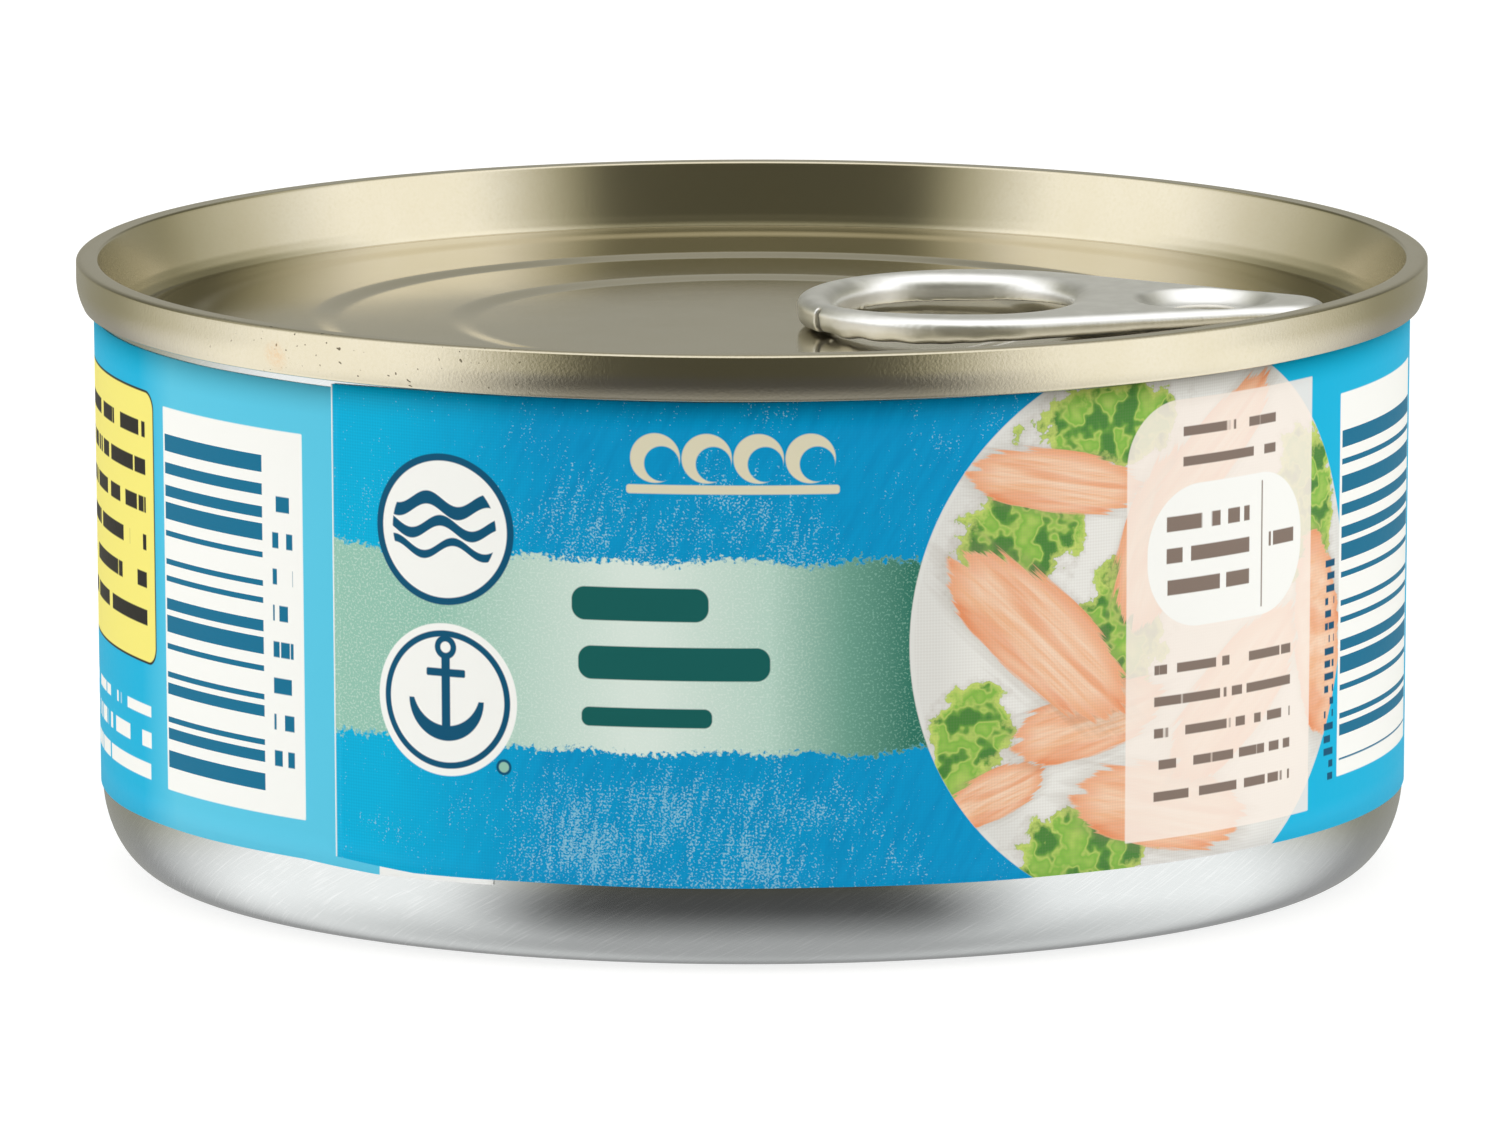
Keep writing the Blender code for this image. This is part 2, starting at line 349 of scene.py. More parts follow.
def body_outline():
    """From the middle of the base panel out, round the corner and up the wall."""
    wall_foot = wall_radius(CORNER_HEIGHT) - PAPER
    ring_outer = wall_foot - CORNER_REACH
    ring_inner = ring_outer - RING_WIDTH
    level = BASE_PANEL + len(BASE_STEPS) * BASE_RISE
    points = [(0.0, level), (BASE_STEPS[-1] - 4.0, level)]
    for radius in reversed(BASE_STEPS):
        points.append((radius - STEP_SLOPE / 2, level))
        points += ease(points[-1], (radius + STEP_SLOPE / 2, level - BASE_RISE), 6)
        level -= BASE_RISE
    points.append((ring_inner - 2 * BASE_SLOPE, BASE_PANEL))
    points += ease(points[-1], (ring_inner, 0.0), 8)
    points += arc((ring_outer, CORNER_HEIGHT), (CORNER_REACH, CORNER_HEIGHT), -90.0, 0.0, 20)
    points += [(wall_radius(z) - PAPER, z) for z in (20.0, 35.0)]
    points.append((wall_radius(SEAM_FOOT) - PAPER, BODY_TOP))
    points += [(41.3, BODY_TOP), (40.9, BODY_FILL), (0.0, BODY_FILL)]
    return points


def bare_metal():
    """Satin tinplate with slanting scratches and faint darker clouds."""
    finish = Finish("bare_metal", {"Metallic": 1.0})
    side = finish.wrapped()
    scratches = finish.streaks(side, radians(28.0), 0.35, 9.0)
    fine = finish.streaks(side, radians(-16.0), 0.5, 14.0)
    clouds = finish.noise(finish.millimetres(), 0.35)
    mark = scratches.above(0.62, 0.2) + 0.5 * fine.above(0.64, 0.2)
    finish.feed("Base Color", finish.mix(mark * 0.6, BARE_METAL, SCRATCH_METAL))
    finish.feed("Roughness", 0.15 + 0.08 * scratches + 0.06 * clouds)
    finish.relief(scratches + 0.6 * fine, 0.35, 0.004)
    return finish


add_piece("body_metal", turned(body_outline()), bare_metal(), ["can_body"])


# End
# The end is a disc of lacquered metal, pale gold on both faces. Its edge is rolled with the
# body's flange into the double seam, and its panel is pressed in shallow steps.
CAN_HEIGHT = 39.0
SEAM_RADIUS = 43.0
SEAM_WIDTH = 1.4
SEAM_SWELL = 3.8
SEAM_SWELL_TOP = 37.85
SEAM_SWELL_TURN = 27.0
SEAM_HEM = 0.15
HEM_INSET = 0.55
HEM_LIFT = 0.03
CROWN_OUTER = 0.42
CROWN_INNER = 0.2
CROWN_DROP = 0.19
INSIDE_RADII = (38.6, 39.3, 40.3, 41.1)
INSIDE_GAP = 0.15
INSIDE_TOP = SEAM_FOOT + 0.35
CHUCK_TURN = 164.0
CHUCK_BEND = ((40.69, 35.7), (40.49, 35.17), (40.22, 34.66))
GROOVE = (39.72, 34.92)
GROOVE_RADIUS = 0.5
SHOULDER_RADIUS = 38.75
SCORE_RADIUS = 38.2
SCORE_DEPTH = 0.03
SCORE_WIDTH = 0.1
WOBBLE_INSET = 1.0
WOBBLE_FADE = 3.0
WOBBLE_DENSITY = 90.0
PANEL_RADII = (35.4, 27.2, 18.5)
PANEL_LEVELS = (35.2, 35.04, 34.84, 34.7)
PANEL_SLOPE = 2.0
END_SKIN = 0.3
PANEL_WOBBLE = 0.02
GOLD = (0.60, 0.552, 0.43, 1.0)
GOLD_WORN = (0.54, 0.48, 0.325, 1.0)
SPECK = (0.10, 0.08, 0.05, 1.0)
RUST = (0.62, 0.36, 0.17, 1.0)


def end_outline():
    """Up and over the seam, down the chuck wall, and across the stepped panel."""
    seam_inner = SEAM_RADIUS - SEAM_WIDTH
    wall = wall_radius(SEAM_FOOT) - PAPER
    underside = PANEL_LEVELS[-1] - END_SKIN
    panel_edge, fill_start, fill_end, hook = INSIDE_RADII
    points = [(0.0, underside), (panel_edge, underside)]
    points += [(fill_start, BODY_FILL + INSIDE_GAP), (fill_end, BODY_FILL + INSIDE_GAP)]
    points += [(hook, INSIDE_TOP), (wall + 0.05, INSIDE_TOP), (wall + 0.1, SEAM_FOOT + 0.08)]
    points.append((wall + 0.25, SEAM_FOOT))
    hem = (SEAM_RADIUS - HEM_INSET, SEAM_FOOT + SEAM_HEM + HEM_LIFT)
    points += arc(hem, (SEAM_HEM, SEAM_HEM), -90.0, -SEAM_SWELL_TURN, 5)
    points += arc((SEAM_RADIUS - SEAM_SWELL, SEAM_SWELL_TOP), (SEAM_SWELL, SEAM_SWELL),
                  -SEAM_SWELL_TURN, 0.0, 12)
    points += arc((SEAM_RADIUS - CROWN_OUTER, CAN_HEIGHT - CROWN_DROP),
                  (CROWN_OUTER, CROWN_DROP), 0.0, 90.0, 10)
    points += arc((seam_inner + CROWN_INNER, CAN_HEIGHT - CROWN_INNER),
                  (CROWN_INNER, CROWN_INNER), 90.0, CHUCK_TURN, 8)
    points += CHUCK_BEND
    points += arc(GROOVE, (GROOVE_RADIUS, GROOVE_RADIUS), -34.0, -150.0, 10)
    points += ease(points[-1], (SHOULDER_RADIUS, PANEL_LEVELS[0]), 8)
    points.append((SCORE_RADIUS + SCORE_WIDTH, PANEL_LEVELS[0]))
    points.append((SCORE_RADIUS, PANEL_LEVELS[0] - SCORE_DEPTH))
    points.append((SCORE_RADIUS - SCORE_WIDTH, PANEL_LEVELS[0]))
    for radius, before, after in zip(PANEL_RADII, PANEL_LEVELS, PANEL_LEVELS[1:]):
        points.append((radius + PANEL_SLOPE / 2 + 1.0, before))
        points.append((radius + PANEL_SLOPE / 2, before))
        points += ease(points[-1], (radius - PANEL_SLOPE / 2, after), 10)
    points += [(12.0, PANEL_LEVELS[-1]), (6.0, PANEL_LEVELS[-1]), (0.0, PANEL_LEVELS[-1])]
    return points


def gold_lacquer():
    """Satin gold lacquer over rolled metal, with grain, specks and one small rust mark."""
    finish = Finish("gold_lacquer", {"Metallic": 1.0})
    place = finish.millimetres()
    grain = finish.noise(place, 5.0, 2.0)
    rolled = finish.streaks(place, 0.0, 0.12, 6.0)
    clouds = finish.noise(place, 0.22, 3.0)
    side = finish.wrapped()
    reach = finish.vector("LENGTH", finish.vector("MULTIPLY", place, (1.0, 1.0, 0.0)), output="Value")
    rubbed = reach.above(42.4, 0.6)
    speckled = finish.vector("DISTANCE", side, (-25.0, 37.5, 0.0), output="Value").below(11.0, 10.0)
    specks = finish.noise(place, 3.6, 0.0).above(0.80, 0.03) * speckled * rubbed
    colour = finish.mix(clouds.above(0.5, 0.5) * 0.35, GOLD, GOLD_WORN)
    colour = finish.mix((grain - 0.5).above(0.12, 0.3) * 0.25, colour, GOLD_WORN)
    colour = finish.mix(specks * 0.9, colour, SPECK)
    away = finish.vector("DISTANCE", side, (-31.9, 37.2, 0.0), output="Value")
    rust = away.below(0.6, 1.0) * grain.above(0.42, 0.4) * rubbed
    finish.feed("Base Color", finish.mix(rust * 0.5, colour, RUST))
    edge = reach.above(39.6, 1.2)
    finish.feed("Roughness", 0.08 + 0.04 * clouds + 0.04 * grain + 0.07 * edge + 0.04 * rubbed)
    finish.relief(grain * (0.5 + 3.0 * rubbed) + 0.5 * rolled, 0.35, 0.007)
    return finish


def make_end(finish):
    """The turned end, its panel a little out of true as pressed sheet is."""
    bm = turned(end_outline())
    for vert in bm.verts:
        reach = sqrt(vert.co.x ** 2 + vert.co.y ** 2) / MM
        fade = min(1.0, max(0.0, (SCORE_RADIUS - WOBBLE_INSET - reach) / WOBBLE_FADE))
        if vert.co.z / MM > PANEL_LEVELS[-1] - END_SKIN / 2:
            vert.co.z += noise.noise(vert.co * WOBBLE_DENSITY) * PANEL_WOBBLE * fade * MM
    add_piece("end_metal", bm, finish, ["can_end"])


gold = gold_lacquer()
make_end(gold)


# Pull tab
# The tab is stamped from aluminium strip. Its edges are curled under all round and round the
# finger hole, and its nose has a sunk dish in which the end's rivet is hammered flat.
TAB_TURN = radians(-8.0)
RING_CENTRE = 14.4
RING_RADIUS = 11.4
NOSE_CENTRE = 33.6
NOSE_RADIUS = 3.1
TAB_TOP = 36.75
TAB_FOOT_AT_RING = 34.76
TAB_FOOT_AT_NOSE = 35.6
SHOULDER = (1.0, 0.65)
HOLE_CENTRE = 13.0
HOLE_LENGTH = 15.0
HOLE_WIDTH = 16.0
HOLE_POWER = 2.5
HOLE_SHOULDER = (1.25, 1.0)
DISH_CENTRE = 29.0
DISH_RADIUS = 4.85
DISH_FLOOR_RADIUS = 3.0
DISH_FLOOR = 35.85
RIVET_RADIUS = 2.2
RIVET_HEIGHT = 0.16
RIVET_STEM = 1.4
CURL_WAVE = 0.22
SLIT_TURN = radians(214.6)
SLIT_REACH = (10.2, 12.2)
SLIT_WIDTHS = (0.95, 0.35)
SLIT_TOP = 36.5
TAB_VOXEL = 0.13
CURL_FOOT = ((0.75, 0.0), (0.4, 0.08), (0.15, 0.3), (0.03, 0.6))
ALUMINIUM = (0.84, 0.84, 0.83, 1.0)
ALUMINIUM_BRIGHT = (0.90, 0.90, 0.89, 1.0)


def lofted(loops):
    """Bridge closed loops of points, in millimetres, and cap both ends."""
    bm = bmesh.new()
    rings = [[bm.verts.new(Vector(point) * MM) for point in loop] for loop in loops]
    for lower, upper in zip(rings, rings[1:]):
        for i in range(len(lower)):
            bm.faces.new((lower[i - 1], lower[i], upper[i], upper[i - 1]))
    bm.faces.new(rings[0])
    bm.faces.new(rings[-1])
    bmesh.ops.recalc_face_normals(bm, faces=bm.faces)
    return bm


def teardrop(inset):
    """The tab's outline: a large and a small circle joined by their tangents."""
    lean = asin((RING_RADIUS - NOSE_RADIUS) / (NOSE_CENTRE - RING_CENTRE))
    touch = pi / 2 - lean
    ring = arc((RING_CENTRE, 0.0), (RING_RADIUS - inset, RING_RADIUS - inset),
               degrees(touch), 360.0 - degrees(touch), 96)
    nose = arc((NOSE_CENTRE, 0.0), (NOSE_RADIUS - inset, NOSE_RADIUS - inset),
               -degrees(touch), degrees(touch), 24)
    return ring + nose


def finger_hole(grow):
    """The hole's outline: a rounded oval between a circle and a square."""
    points = []
    for i in range(96):
        across, along = cos(tau * i / 96), sin(tau * i / 96)
        size = (abs(across) ** HOLE_POWER + abs(along) ** HOLE_POWER) ** (-1 / HOLE_POWER)
        points.append((HOLE_CENTRE + (HOLE_LENGTH / 2 + grow) * size * across,
                       (HOLE_WIDTH / 2 + grow) * size * along))
    return points


def slit(width):
    """The outline of the narrow gap where the two ends of the curl meet."""
    along = Vector((cos(SLIT_TURN), sin(SLIT_TURN)))
    across = Vector((-along.y, along.x)) * width / 2
    centre = Vector((RING_CENTRE, 0.0))
    inner, outer = (centre + along * reach for reach in SLIT_REACH)
    return [tuple(point) for point in (inner - across, outer - across, outer + across, inner + across)]


def tab_foot(x, y):
    """Height of the curl's lower edge, which rises to the nose and waves a little."""
    ring_tip = RING_CENTRE - RING_RADIUS
    share = (x - ring_tip) / (NOSE_CENTRE + NOSE_RADIUS - ring_tip)
    wave = noise.noise(Vector((x * 0.55, y * 0.55, 4.0))) * CURL_WAVE
    return TAB_FOOT_AT_RING + (TAB_FOOT_AT_NOSE - TAB_FOOT_AT_RING) * share + wave + CURL_WAVE / 3


def lifted(points, z):
    """Lift a flat outline to one height."""
    return [(x, y, z) for x, y in points]


def scratch_object(name, bm):
    """An object to work on, from a bmesh."""
    mesh = bpy.data.meshes.new(name)
    bm.to_mesh(mesh)
    bm.free()
    obj = bpy.data.objects.new(name, mesh)
    bpy.context.collection.objects.link(obj)
    return obj


def bake_modifiers(obj):
    """Replace an object's mesh with what its modifiers make of it."""
    evaluated = obj.evaluated_get(bpy.context.evaluated_depsgraph_get())
    mesh = bpy.data.meshes.new_from_object(evaluated)
    obj.modifiers.clear()
    obj.data = mesh


def take_out(target, cutter_bm):
    """Cut a closed shape out of an object."""
    cutter = scratch_object("cutter", cutter_bm)
    modifier = target.modifiers.new("cut", "BOOLEAN")
    modifier.operation = "DIFFERENCE"
    modifier.solver = "EXACT"
    modifier.object = cutter
    bake_modifiers(target)
    bpy.data.objects.remove(cutter)


def make_tab(finish):
    """The stamped tab, cut from a rounded blank and then softened all over."""
    shoulder = arc((SHOULDER[0], TAB_TOP - SHOULDER[1]), SHOULDER, 180.0, 90.0, 10)
    loops = [[(x, y, tab_foot(x, y) + lift) for x, y in teardrop(inset)]
             for inset, lift in CURL_FOOT]
    loops += [lifted(teardrop(inset), z) for inset, z in shoulder]
    tab = scratch_object("tab_metal", lofted(loops))

    below, above = TAB_FOOT_AT_RING - 1.0, TAB_TOP + 1.0
    flare = arc((HOLE_SHOULDER[0], TAB_TOP - HOLE_SHOULDER[1]), HOLE_SHOULDER, 180.0, 100.0, 8)
    loops = [lifted(finger_hole(0.0), below)] + [lifted(finger_hole(grow), z) for grow, z in flare]
    loops.append(lifted(finger_hole(2 * HOLE_SHOULDER[0]), above))
    take_out(tab, lofted(loops))

    profile = [(DISH_FLOOR_RADIUS, DISH_FLOOR)]
    profile += ease(profile[0], (DISH_RADIUS, TAB_TOP + 0.05), 10) + [(DISH_RADIUS + 0.5, above)]
    rings = [arc((DISH_CENTRE, 0.0), (radius, radius), 0.0, 354.0, 59) for radius, _ in profile]
    take_out(tab, lofted([lifted(ring, z) for ring, (_, z) in zip(rings, profile)]))
    foot, crest = (slit(width) for width in SLIT_WIDTHS)
    take_out(tab, lofted([lifted(foot, below), lifted(crest, SLIT_TOP)]))
    stem = arc((DISH_CENTRE, 0.0), (RIVET_STEM, RIVET_STEM), 0.0, 350.0, 35)
    take_out(tab, lofted([lifted(stem, below), lifted(stem, above)]))

    remesh = tab.modifiers.new("remesh", "REMESH")
    remesh.mode = "VOXEL"
    remesh.voxel_size = TAB_VOXEL * MM
    smooth = tab.modifiers.new("smooth", "SMOOTH")
    smooth.factor = 0.5
    smooth.iterations = 6
    bake_modifiers(tab)
    tab.data.transform(Matrix.Rotation(TAB_TURN, 4, "Z"))
    tab.data.shade_smooth()
    tab.data.materials.clear()
    tab.data.materials.append(finish.material)
    tie_piece(tab, ["pull_tab"])


def tab_aluminium():
    """Satin aluminium with short scratches and slightly brighter worn places."""
    finish = Finish("tab_aluminium", {"Metallic": 1.0})
    place = finish.millimetres()
    scratches = finish.streaks(place, radians(35.0), 0.5, 8.0)
    wear = finish.noise(place, 0.8)
    finish.feed("Base Color", finish.mix(wear.above(0.55, 0.3), ALUMINIUM, ALUMINIUM_BRIGHT))
    finish.feed("Roughness", 0.31 + 0.1 * scratches + 0.06 * wear)
    finish.relief(scratches, 0.25, 0.005)
    return finish


def make_rivet(finish):
    """The rivet pressed out of the panel and spread over the dish's floor."""
    dome = arc((0.0, DISH_FLOOR + 0.1), (RIVET_RADIUS, RIVET_HEIGHT), 90.0, 0.0, 10)
    outline = dome + [(RIVET_RADIUS - 0.3, DISH_FLOOR), (RIVET_STEM - 0.1, DISH_FLOOR),
                      (RIVET_STEM - 0.1, PANEL_LEVELS[1] - 0.1), (0.0, PANEL_LEVELS[1] - 0.1)]
    bm = turned(outline, 64)
    centre = Matrix.Rotation(TAB_TURN, 3, "Z") @ Vector((DISH_CENTRE * MM, 0.0, 0.0))
    bmesh.ops.translate(bm, verts=bm.verts, vec=centre)
    add_piece("rivet", bm, finish, ["can_end"])


make_tab(tab_aluminium())
make_rivet(gold)


# Label
# The label is one strip of coated paper, printed and wrapped once round the can. Its front
# edge laps over the bare white flap at its other end and is glued down there.
ROUND = 41.75
LAP = tau * ROUND
LABEL_START = -28.05
LABEL_END = LAP - 16.6
FLAP_START = LAP - 24.7
LABEL_FOOT = 5.45
LABEL_TOP = 35.9
START_LIFT = 0.5
FLAP_DROP = 0.35
TOP_SLIP = 0.4
EDGE_WAVE = 0.04
SHEET_RIPPLE = 0.015
LABEL_COLUMNS = 420
LABEL_ROWS = 16
CELLS = 3
CELL_MARGIN = 0.006
EDGE = 0.08
SCREEN_DENSITY = 23.0


def ink(red, green, blue):
    """A printed colour from its values on screen, 0 to 255."""
    def linear(value):
        share = value / 255
        return share / 12.92 if share <= 0.04045 else ((share + 0.055) / 1.055) ** 2.4
    return (linear(red), linear(green), linear(blue), 1.0)


PAPER_WHITE = ink(251, 251, 248)
CYAN = ink(0, 182, 226)
# A paler cyan that is painted sheen: it stands for the left softbox's sheen on the glossy paper.
CYAN_PAINTED_SHEEN = ink(92, 202, 233)
BLUE = ink(0, 153, 208)
DEEP_BLUE = ink(0, 138, 194)
CHALK = ink(158, 208, 226)
SAGE = ink(150, 198, 180)
SAGE_PALE = ink(230, 240, 233)
SAGE_DARK = ink(50, 118, 100)
CREAM = ink(224, 217, 190)
DARK_GREEN = ink(22, 96, 92)
BADGE_BLUE = ink(12, 84, 118)
YELLOW = ink(250, 238, 126)
BLACK = ink(38, 36, 34)
BAR_BLUE = ink(16, 112, 148)
PLATE = ink(238, 237, 233)
PLATE_SHADE = ink(205, 205, 202)
FISH = ink(244, 188, 148)
FISH_LIGHT = ink(252, 222, 198)
FISH_RED = ink(236, 150, 104)
PLATE_DARK = ink(150, 130, 112)
LEAF = ink(134, 188, 76)
LEAF_DARK = ink(58, 122, 58)
LEAF_LIGHT = ink(206, 220, 118)
PANEL_CREAM = ink(252, 241, 232)
PANEL_INK = ink(134, 118, 108)


def label_height(u):
    """Lower and upper edge of the paper along its length."""
    lift = START_LIFT * max(0.0, 1.0 - (u - LABEL_START) / 6.0)
    drop = FLAP_DROP * min(1.0, max(0.0, (u - FLAP_START + 6.0) / 6.0))
    foot = LABEL_FOOT + lift - drop + EDGE_WAVE * noise.noise(Vector((u * 0.1, 0.0, 0.0)))
    slip = TOP_SLIP * min(1.0, max(0.0, (u - LAP + 75.0) / 15.0))
    top = LABEL_TOP - 0.3 * lift - slip + EDGE_WAVE * noise.noise(Vector((u * 0.12, 5.0, 0.0)))
    return foot, top


def label_point(u, z, outside):
    """A point of the wrapped paper, whose start lies over its end."""
    over = min(1.0, max(0.0, (LABEL_END - LAP + 1.5 - u) / 2.5))
    ripple = SHEET_RIPPLE * noise.noise(Vector((u * 0.07, z * 0.05, 9.0)))
    radius = wall_radius(z) - PAPER * (1 - outside) + PAPER * over + ripple
    angle = u / ROUND
    return Vector((radius * sin(angle), -radius * cos(angle), z)) * MM


def make_label(finish):
    """The wrapped strip, closed at its edges, with its print laid out flat for the shader."""
    bm = bmesh.new()
    sheet = bm.loops.layers.uv.new("sheet")
    bake = bm.loops.layers.uv.new("OFBake")
    length = LABEL_END - LABEL_START
    columns = [LABEL_START + length * i / LABEL_COLUMNS for i in range(LABEL_COLUMNS + 1)]
    sides = []
    for outside in (1.0, 0.0):
        grid = []
        for u in columns:
            foot, top = label_height(u)
            heights = [foot + (top - foot) * j / LABEL_ROWS for j in range(LABEL_ROWS + 1)]
            grid.append([(bm.verts.new(label_point(u, z, outside)), u, z) for z in heights])
        sides.append(grid)
    cell_length = length / CELLS ** 2

    def add_face(corners, cell, hidden):
        face = bm.faces.new([corner[0] for corner in corners])
        for loop, (_, u, z) in zip(face.loops, corners):
            loop[sheet].uv = (u, z)
            along = (u - LABEL_START) / cell_length - cell
            up = (z - LABEL_FOOT + 0.6) / (LABEL_TOP - LABEL_FOOT + 0.9)
            if hidden:
                along, up = 0.5, 0.001
            size = 1 / CELLS - 2 * CELL_MARGIN
            loop[bake].uv = ((cell % CELLS) / CELLS + CELL_MARGIN + along * size,
                             (cell // CELLS) / CELLS + CELL_MARGIN + up * size)

    outer, inner = sides
    for i in range(LABEL_COLUMNS):
        cell = min(i * CELLS ** 2 // LABEL_COLUMNS, CELLS ** 2 - 1)
        for j in range(LABEL_ROWS):
            add_face((outer[i][j], outer[i + 1][j], outer[i + 1][j + 1], outer[i][j + 1]), cell, False)
            add_face((inner[i][j], inner[i][j + 1], inner[i + 1][j + 1], inner[i + 1][j]), cell, True)
        add_face((outer[i][0], inner[i][0], inner[i + 1][0], outer[i + 1][0]), cell, True)
        add_face((outer[i][-1], outer[i + 1][-1], inner[i + 1][-1], inner[i][-1]), cell, True)
    for i in (0, -1):
        for j in range(LABEL_ROWS):
            add_face((outer[i][j], outer[i][j + 1], inner[i][j + 1], inner[i][j]), 0, True)
    add_piece("label_paper", bm, finish, ["label"])


class Print(Finish):
    """The label's artwork, drawn from simple shapes in millimetres on the flat sheet.

    Each shape is a mask, laid in turn over what is printed so far. The screen is the fine
    pattern of dots that a press leaves.
    """

    def __init__(self):
        super().__init__("printed_paper", {"Specular IOR Level": 0.08})
        uv = self.node("UVMap", {"uv_map": "sheet"})
        self.sheet = self.vector("MULTIPLY", uv, (1.0, 1.0, 0.0))
        split = self.node("SeparateXYZ", None, {0: self.sheet})
        self.u = split
        self.z = split.output("Y")
        self.colour = CYAN
        turn = (0.0, 0.0, radians(45.0))
        slanted = self.node("Mapping", None, {"Vector": self.sheet, "Rotation": turn})
        phase = self.vector("MULTIPLY", slanted, (SCREEN_DENSITY, SCREEN_DENSITY, 0.0))
        dots = self.node("SeparateXYZ", None, {0: self.vector("SINE", phase)})
        self.screen = (dots * dots.output("Y")).above(0.0, 0.9)

    def lay(self, mask, colour):
        """Print a colour where the mask is 1."""
        self.colour = self.mix(mask, self.colour, colour)

    def disc(self, centre, radius, soft=EDGE):
        """A round mask."""
        away = self.vector("DISTANCE", self.sheet, (*centre, 0.0), output="Value")
        return away.below(radius, soft)

    def box(self, centre, half, corner, soft=EDGE):
        """A rectangle with rounded corners."""
        place = self.vector("ABSOLUTE", self.vector("SUBTRACT", self.sheet, (*centre, 0.0)))
        out = self.vector("SUBTRACT", place, (half[0] - corner, half[1] - corner, 0.0))
        away = self.vector("LENGTH", self.vector("MAXIMUM", out, (0.0, 0.0, 0.0)), output="Value")
        return away.below(corner, soft)

    def local(self, centre, half, turn):
        """The sheet seen from a shape's own middle, scaled so that the shape has radius 1."""
        inputs = {"Vector": self.sheet, "Location": (*centre, 0.0), "Rotation": (0.0, 0.0, turn),
                  "Scale": (half[0], half[1], 1.0)}
        return self.node("Mapping", {"vector_type": "TEXTURE"}, inputs)

    def words(self, centre, half, pitch, line, word, seed):
        """Rows of short bars that stand for lines of small type."""
        block = self.box(centre, half, 0.05)
        row = self.maths("FLOOR", (self.z - (centre[1] - half[1])) * (1 / pitch))
        inside = self.maths("FRACT", (self.z - (centre[1] - half[1])) * (1 / pitch))
        stroke = self.maths("ABSOLUTE", inside - 0.5).below(line / pitch / 2, EDGE / pitch)
        shifted = self.node("CombineXYZ", None, {0: self.u * (1 / word), 1: row * 7.31 + seed})
        gaps = self.noise(shifted, 1.0, 1.0).above(0.43, 0.012)
        return block * stroke * gaps

    def bars(self, centre, half, pitch, seed):
        """A block of level bars of mixed widths."""
        block = self.box(centre, half, 0.05)
        row = self.maths("FLOOR", self.z * (1 / pitch) + seed)
        chance = self.node("TexWhiteNoise", {"noise_dimensions": "1D"}, {"W": row}, "Value")
        gap = self.maths("MODULO", row, 4.0).above(0.5, 0.01)
        return block * chance.above(0.4, 0.01) * gap


def draw_ground(art):
    """Flat cyan all round, paler at the left end as painted sheen, and brushed blue with a sage band
    behind the front.
    """
    fine = art.noise(art.sheet, 3.2, 2.0)
    coarse = art.noise(art.sheet, 0.22, 3.0)
    brush = art.streaks(art.sheet, radians(62.0), 0.28, 1.6)
    grit = art.noise(art.sheet, 7.0, 1.0)
    # Painted sheen: the left end of the strip is printed a paler cyan in place of the softbox's sheen
    # on the paper.
    art.lay(art.u.above(LAP - 46.5, 5.0), CYAN_PAINTED_SHEEN)
    front = art.u.below(30.0, 0.1)
    art.lay(front, BLUE)
    art.lay(front * brush.above(0.54, 0.25) * 0.6, DEEP_BLUE)
    glow = (art.u + 6.0 * (coarse - 0.5)).below(-18.5, 12.0)
    art.lay(front * glow, CYAN)
    strokes = art.streaks(art.sheet, radians(78.0), 0.5, 2.4)
    near = art.maths("ABSOLUTE", art.u + 4.5).below(11.0, 9.0)
    zone = near * (art.z.below(12.5, 4.0) + 0.7 * art.z.above(24.0, 4.0) * art.z.below(30.5, 5.0))
    dust = 0.62 * grit + 0.38 * strokes + 0.3 * (coarse - 0.5) + 0.12 * zone
    art.lay(front * dust.above(0.668, 0.07) * 0.75, CHALK)
    art.lay(front * art.screen * 0.28, DEEP_BLUE)

    ragged = art.z + 1.6 * (fine - 0.5) + 1.6 * (coarse - 0.5)
    band = front * ragged.above(13.9, 0.25) * ragged.below(25.9, 0.25)
    art.lay(band, SAGE)
    middle = art.maths("ABSOLUTE", art.u + 7.0).below(7.0, 12.0)
    art.lay(band * middle * 0.85, SAGE_PALE)
    art.lay(band * art.u.above(5.5, 9.0), SAGE_DARK)
    art.lay(band * grit.above(0.58, 0.12) * art.u.below(4.0, 4.0) * 0.35, SAGE_PALE)
    art.lay(band * grit.above(0.6, 0.1) * art.u.above(3.0, 5.0) * 0.4, SAGE)


def draw_badges(art):
    """Two round marks: waves over the sea, and a small anchor."""
    art.lay(art.disc((-19.8, 27.3), 4.75), BADGE_BLUE)
    art.lay(art.disc((-19.8, 27.3), 4.3), PAPER_WHITE)
    art.lay(art.disc((-19.7, 16.6), 4.8), PAPER_WHITE)
    art.lay(art.disc((-19.7, 16.6), 4.35), BADGE_BLUE)
    art.lay(art.disc((-19.7, 16.6), 3.95), PAPER_WHITE)
    waves = art.disc((-19.8, 27.3), 3.6)
    for offset, width in ((1.5, 0.42), (0.1, 0.34), (-1.2, 0.26)):
        swell = art.maths("SINE", art.u * 1.5 + offset) * 0.45
        line = art.maths("ABSOLUTE", art.z - (27.3 + offset) - swell).below(width, EDGE)
        art.lay(waves * line, BADGE_BLUE)
    shank = art.box((-19.7, 16.9), (0.3, 2.5), 0.15)
    stock = art.box((-19.7, 18.3), (1.35, 0.25), 0.12)
    eye = art.disc((-19.7, 19.9), 0.75)
    arm = art.disc((-19.7, 16.6), 2.6) * (1 - art.disc((-19.7, 17.3), 2.35)) * art.z.below(16.6, EDGE)
    for mask in (shank, stock, eye, arm):
        art.lay(mask, BADGE_BLUE)
    art.lay(art.disc((-19.7, 19.9), 0.35), PAPER_WHITE)
    art.lay(art.disc((-15.8, 12.6), 0.5), BADGE_BLUE)
    art.lay(art.disc((-15.8, 12.6), 0.33), SAGE)


